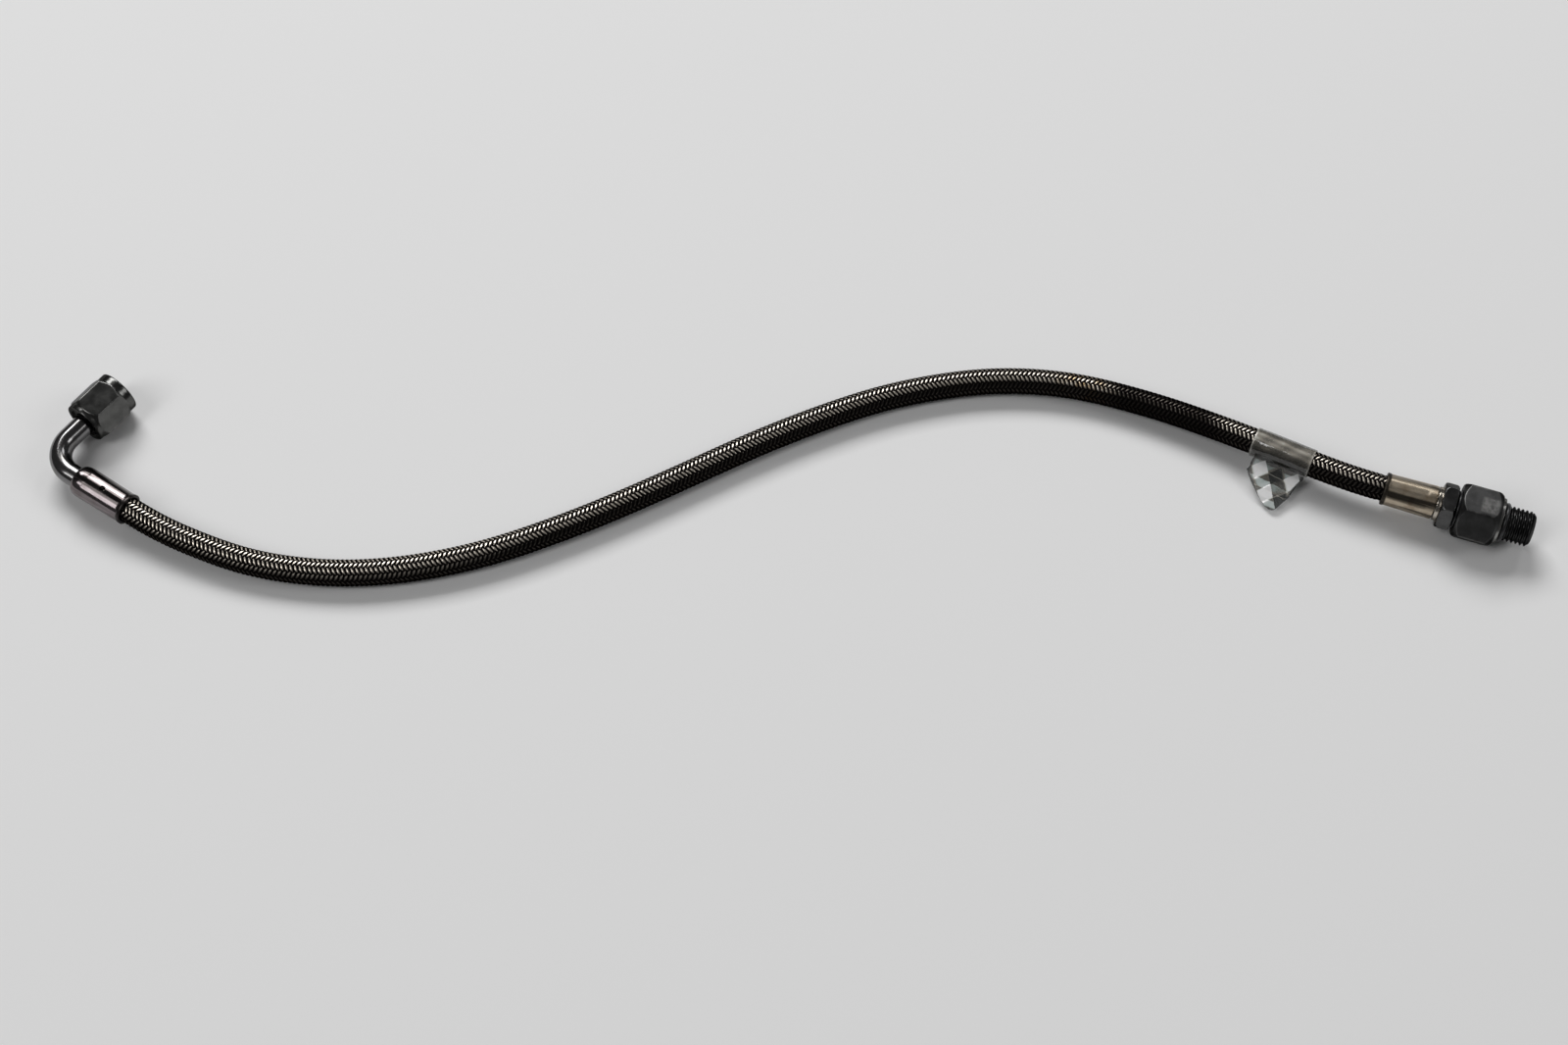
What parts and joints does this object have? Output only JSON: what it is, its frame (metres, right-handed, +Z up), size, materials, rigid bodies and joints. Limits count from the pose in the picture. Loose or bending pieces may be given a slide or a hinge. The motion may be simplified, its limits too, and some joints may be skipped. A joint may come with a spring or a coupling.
{
  "type": "braided oil line",
  "caption": "Braided steel oil hose lying in a flat S, with a bent-tube swivel nut at one end and a threaded hexagon adapter at the other.",
  "frame": {"origin": "on the bench, at the middle of the rectangle that the two metal ends span", "axes": "+X along the line from the elbow end to the adapter end, +Y towards the back, +Z up"},
  "size_m": [0.5252, 0.0893, 0.019],
  "materials": {
    "dark_steel": "satin dark grey steel, turned and milled",
    "adapter_steel": "satin dark grey steel, worn bright on one flat",
    "stem_steel": "satin grey steel",
    "turned_steel": "bright turned steel",
    "spring_wire": "drawn spring wire",
    "polished_steel": "polished stainless tube",
    "sleeve_steel": "bright crimped stainless sleeve",
    "braided_wire": "braided stainless wire",
    "liner_plastic": "smooth white lining",
    "clear_tape": "clear tape, creased",
    "seal_rubber": "black seal rubber"
  },
  "bodies": {
    "line": {"nose": "turned_steel", "lock_wire": "spring_wire", "elbow_tube": "polished_steel", "elbow_sleeve": "sleeve_steel", "elbow_stem": "turned_steel", "hose_braid": "braided_wire", "hose_liner": "liner_plastic", "label": "clear_tape", "straight_sleeve": "sleeve_steel", "straight_stem": "stem_steel", "stem_o_ring": "seal_rubber", "adapter": "adapter_steel", "port_o_ring": "seal_rubber"},
    "nut": {"swivel_nut": "dark_steel"}
  },
  "joints": [
    {"name": "nut_swivel", "type": "hinge", "parent": "line", "child": "nut", "pos_m": [-0.25207, 0.01556, 0.00902], "axis": [0.5961, 0.8029, -0.0038], "continuous": true}
  ]
}
